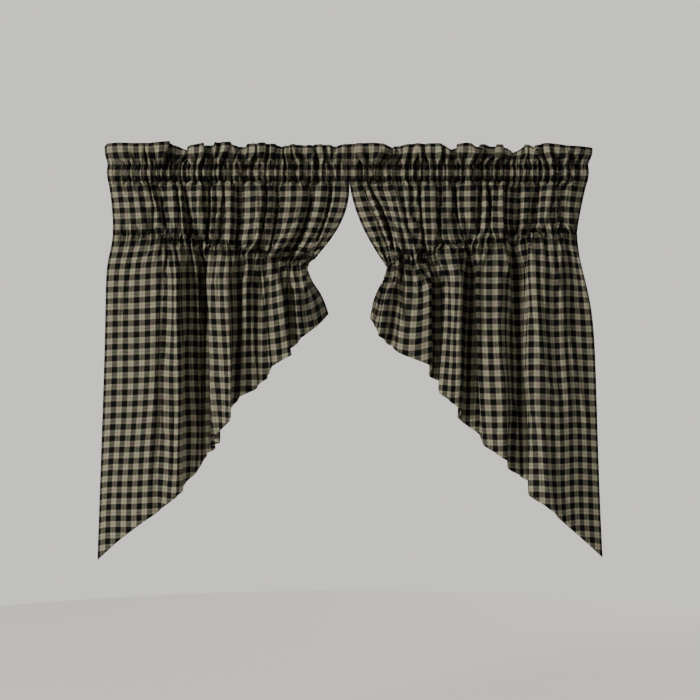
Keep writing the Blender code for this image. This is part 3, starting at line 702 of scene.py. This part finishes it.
# Take a value from one range to another, and keep it inside that one.
def mapRange(tree, value, start=(0, 1), end=(0, 1)):
    node = tree.nodes.new("ShaderNodeMapRange")
    for label, limit in zip(("From Min", "From Max", "To Min", "To Max"), (*start, *end)):
        node.inputs[label].default_value = limit
    tree.links.new(value, node.inputs["Value"])
    return node.outputs[0]


def noiseNode(tree, place, scale, detail=2, distortion=0):
    node = tree.nodes.new("ShaderNodeTexNoise")
    node.inputs["Scale"].default_value = scale
    node.inputs["Detail"].default_value = detail
    node.inputs["Distortion"].default_value = distortion
    tree.links.new(place, node.inputs["Vector"])
    return node.outputs[0]


# The check and its weave.
check = {
    "repeat": 0.0254,          # one dark and one light stripe
    "dark": (0.0045, 0.0050, 0.0065),
    "light": (0.420, 0.395, 0.288),
    "depth": 2.0,              # above 1, the squares where dark crosses light come out darker
    "stripeSoft": 0.02,        # softness of a stripe's edge on each side, as a share of the repeat
    "lineShare": 0.10,         # width of the thin line down the middle of each light stripe
    "lineLevel": 0.80,
    "threadPitch": 0.00065,
    "crossing": (0.22, 0.78),  # share of the weft's colour where the warp and where the weft is on top
    "slub": (90, 3),           # scale and detail of the noise that thickens and wears the yarn
    "worn": (0.66, 1.34),      # the yarn's brightness under that noise
    "tintScale": 60,           # scale of the noise that turns the yarn's hue
    "hue": (0.43, 0.57),       # the hue under it, where 0.5 leaves the colour as it is
    "slubHeight": 0.6,         # height of the slubs, where a thread's own is 1
    "roughness": (0.78, 0.98),
}


# Stripe mask along one coordinate: 1 in the light half of the repeat, 0 in the dark half, and a thin
# darker line in the middle of the light half.
def stripeMask(tree, coordinate, repeat):
    turns = mathNode(tree, "FRACT", mathNode(tree, "DIVIDE", coordinate, repeat))
    fromMiddle = mathNode(tree, "ABSOLUTE", mathNode(tree, "SUBTRACT", turns, 0.5))
    soft, line = check["stripeSoft"], check["lineShare"]
    light = mapRange(tree, mathNode(tree, "SUBTRACT", 0.25, fromMiddle), (-soft, soft))
    lined = mapRange(tree, fromMiddle, (0.25 * line, 0.65 * line), (check["lineLevel"], 1))
    return mathNode(tree, "MULTIPLY", light, lined)


# A plain weave in a check: the two stripe masks mix where warp and weft cross, by a product of two sines.
def wovenCheckGroup():
    group, inside, outside = newGroup("wovenCheck", [
        ("Cloth", "NodeSocketVector", None), ("Repeat", "NodeSocketFloat", check["repeat"]),
        ("Thread Pitch", "NodeSocketFloat", check["threadPitch"]),
        ("Dark", "NodeSocketColor", (*check["dark"], 1)), ("Light", "NodeSocketColor", (*check["light"], 1)),
    ], [("Color", "NodeSocketColor"), ("Height", "NodeSocketFloat"), ("Roughness", "NodeSocketFloat")])
    links = group.links
    split = group.nodes.new("ShaderNodeSeparateXYZ")
    links.new(inside.outputs["Cloth"], split.inputs[0])
    masks, threads = [], []
    for coordinate in split.outputs[:2]:
        masks.append(stripeMask(group, coordinate, inside.outputs["Repeat"]))
        turns = mathNode(group, "DIVIDE", coordinate, inside.outputs["Thread Pitch"])
        threads.append(mathNode(group, "SINE", mathNode(group, "MULTIPLY", turns, math.pi)))
    over = mathNode(group, "MULTIPLY", *threads)
    blend = group.nodes.new("ShaderNodeMix")
    links.new(mapRange(group, over, (-0.5, 0.5), check["crossing"]), blend.inputs["Factor"])
    for mask, label in zip(masks, ("A", "B")):
        links.new(mask, blend.inputs[label])
    slub = noiseNode(group, inside.outputs["Cloth"], *check["slub"])
    tint = noiseNode(group, inside.outputs["Cloth"], check["tintScale"])
    yarn = group.nodes.new("ShaderNodeMix")
    yarn.data_type = "RGBA"
    links.new(mathNode(group, "POWER", blend.outputs[0], check["depth"]), yarn.inputs["Factor"])
    links.new(inside.outputs["Dark"], yarn.inputs["A"])
    links.new(inside.outputs["Light"], yarn.inputs["B"])
    shade = group.nodes.new("ShaderNodeHueSaturation")
    links.new(yarn.outputs["Result"], shade.inputs["Color"])
    links.new(mapRange(group, tint, (0.3, 0.7), check["hue"]), shade.inputs["Hue"])
    links.new(mapRange(group, slub, (0, 1), check["worn"]), shade.inputs["Value"])
    links.new(shade.outputs[0], outside.inputs["Color"])
    thick = mathNode(group, "MULTIPLY", slub, check["slubHeight"])
    links.new(mathNode(group, "ADD", mathNode(group, "ABSOLUTE", over), thick), outside.inputs["Height"])
    links.new(mapRange(group, slub, (0, 1), check["roughness"]), outside.inputs["Roughness"])
    return group


puckering = {
    "length": 0.16,            # the smaller, the longer the puckers are drawn down the folds
    "scale": 105, "detail": 1, "distortion": 0.6,
}


# Small puckers that fan out from the sewn lines: noise drawn out along the folds, fading with the distance.
def puckerGroup():
    group, inside, outside = newGroup("puckers", [
        ("Cloth", "NodeSocketVector", None), ("Sewn", "NodeSocketFloat", 0.0),
        ("Length", "NodeSocketFloat", puckering["length"]),
    ], [("Height", "NodeSocketFloat")])
    split = group.nodes.new("ShaderNodeSeparateXYZ")
    group.links.new(inside.outputs["Cloth"], split.inputs[0])
    drawn = group.nodes.new("ShaderNodeCombineXYZ")
    group.links.new(split.outputs[0], drawn.inputs[0])
    group.links.new(mathNode(group, "MULTIPLY", split.outputs[1], inside.outputs["Length"]), drawn.inputs[1])
    noise = noiseNode(
        group, drawn.outputs[0], puckering["scale"], puckering["detail"], puckering["distortion"])
    group.links.new(mathNode(group, "MULTIPLY", noise, inside.outputs["Sewn"]), outside.inputs["Height"])
    return group


finish = {
    "shader": {"Sheen Weight": 0.03, "Sheen Roughness": 0.4, "Specular IOR Level": 0.12},
    "weaveBump": (0.35, 0.0003),    # strength, and height in metres
    "puckerBump": (1.0, 0.035),
}


def bumpNode(tree, height, bump):
    node = tree.nodes.new("ShaderNodeBump")
    node.inputs["Strength"].default_value, node.inputs["Distance"].default_value = bump
    tree.links.new(height, node.inputs["Height"])
    return node


def clothMaterial(name, weaveGroup, puckers):
    material = bpy.data.materials.new(name)
    material.use_nodes = True
    tree = material.node_tree
    shader = tree.nodes["Principled BSDF"]
    for label, value in finish["shader"].items():
        shader.inputs[label].default_value = value
    uv = tree.nodes.new("ShaderNodeUVMap")
    uv.uv_map = "cloth"
    sewn = tree.nodes.new("ShaderNodeAttribute")
    sewn.attribute_name = "sewn"
    weave = tree.nodes.new("ShaderNodeGroup")
    weave.node_tree = weaveGroup
    small = tree.nodes.new("ShaderNodeGroup")
    small.node_tree = puckers
    tree.links.new(uv.outputs[0], weave.inputs["Cloth"])
    tree.links.new(uv.outputs[0], small.inputs["Cloth"])
    tree.links.new(sewn.outputs["Fac"], small.inputs["Sewn"])
    tree.links.new(weave.outputs["Color"], shader.inputs["Base Color"])
    tree.links.new(weave.outputs["Roughness"], shader.inputs["Roughness"])
    crease = bumpNode(tree, small.outputs["Height"], finish["puckerBump"])
    relief = bumpNode(tree, weave.outputs["Height"], finish["weaveBump"])
    tree.links.new(crease.outputs[0], relief.inputs["Normal"])
    tree.links.new(relief.outputs[0], shader.inputs["Normal"])
    return material


studio = {
    "camera": (0.0022, -3.2, -0.390),
    "viewWidth": 1.542,        # width of the view at the rod's distance
    "sensor": 36,
    "floorZ": -1.35, "floorRadius": 2.6, "floorColour": (0.82, 0.80, 0.74), "floorRoughness": 0.9,
    "floorGlow": 0.42,
    "worldColour": (0.95, 0.93, 0.88),
    "ambient": 0.047,          # strength of the world's light on the cloth
    "backdrop": 0.95,          # and as the camera sees it
    "target": (0, 0, -0.38),   # where the lamps point
    "lampSize": 2.4,
    "lamps": (                 # name, place, power and colour. The last one lights the back alone.
        ("keyLight", (-4.96, -4.16, 2.59), 372, (1.0, 0.96, 0.90)),
        ("fillLight", (1.6, -3.0, 0.3), 4.5, (1, 1, 1)),
        ("backLight", (3.6, 4.4, 1.8), 150, (1, 1, 1)),
    ),
}


def areaLight(name, place, power, colour):
    lamp = bpy.data.lights.new(name, "AREA")
    lamp.energy = power
    lamp.size = studio["lampSize"]
    lamp.color = colour
    thing = bpy.data.objects.new(name, lamp)
    bpy.context.scene.collection.objects.link(thing)
    thing.location = place
    aim = Vector(studio["target"]) - Vector(place)
    thing.rotation_euler = aim.to_track_quat("-Z", "Y").to_euler()


# Camera, floor, world and lamps.
def buildStudio():
    scene = bpy.context.scene
    camera = bpy.data.cameras.new("camera")
    thing = bpy.data.objects.new("camera", camera)
    scene.collection.objects.link(thing)
    thing.location = studio["camera"]
    thing.rotation_euler = (math.pi / 2, 0, 0)
    camera.sensor_width = studio["sensor"]
    camera.lens = studio["sensor"] * -studio["camera"][1] / studio["viewWidth"]
    scene.camera = thing
    bpy.ops.mesh.primitive_circle_add(
        vertices=96, radius=studio["floorRadius"], fill_type="NGON", location=(0, 0, studio["floorZ"]))
    floor = bpy.context.object
    floor.name = "floor"
    paint = bpy.data.materials.new("floor_paint")
    paint.use_nodes = True
    shader = paint.node_tree.nodes["Principled BSDF"]
    shader.inputs["Base Color"].default_value = (*studio["floorColour"], 1)
    shader.inputs["Roughness"].default_value = studio["floorRoughness"]
    shader.inputs["Emission Color"].default_value = (*studio["worldColour"], 1)
    shader.inputs["Emission Strength"].default_value = studio["floorGlow"]
    floor.data.materials.append(paint)
    world = bpy.data.worlds.new("studio")
    world.use_nodes = True
    tree = world.node_tree
    glow = tree.nodes["Background"]
    glow.inputs["Color"].default_value = (*studio["worldColour"], 1)
    rays = tree.nodes.new("ShaderNodeLightPath")
    seen = mapRange(tree, rays.outputs["Is Camera Ray"], (0, 1), (studio["ambient"], studio["backdrop"]))
    tree.links.new(seen, glow.inputs["Strength"])
    scene.world = world
    for name, place, power, colour in studio["lamps"]:
        areaLight(name, place, power, colour)


weaveGroup, puckers = wovenCheckGroup(), puckerGroup()
panelMaterial = clothMaterial("panel_check_cloth", weaveGroup, puckers)
headingMaterial = clothMaterial("heading_check_cloth", weaveGroup, puckers)
print("cloth materials made")
for panel in (leftPanel, rightPanel):
    buildPanel(panel, panelMaterial)
    buildHeading(panel, headingMaterial)
buildStudio()
print("studio made")
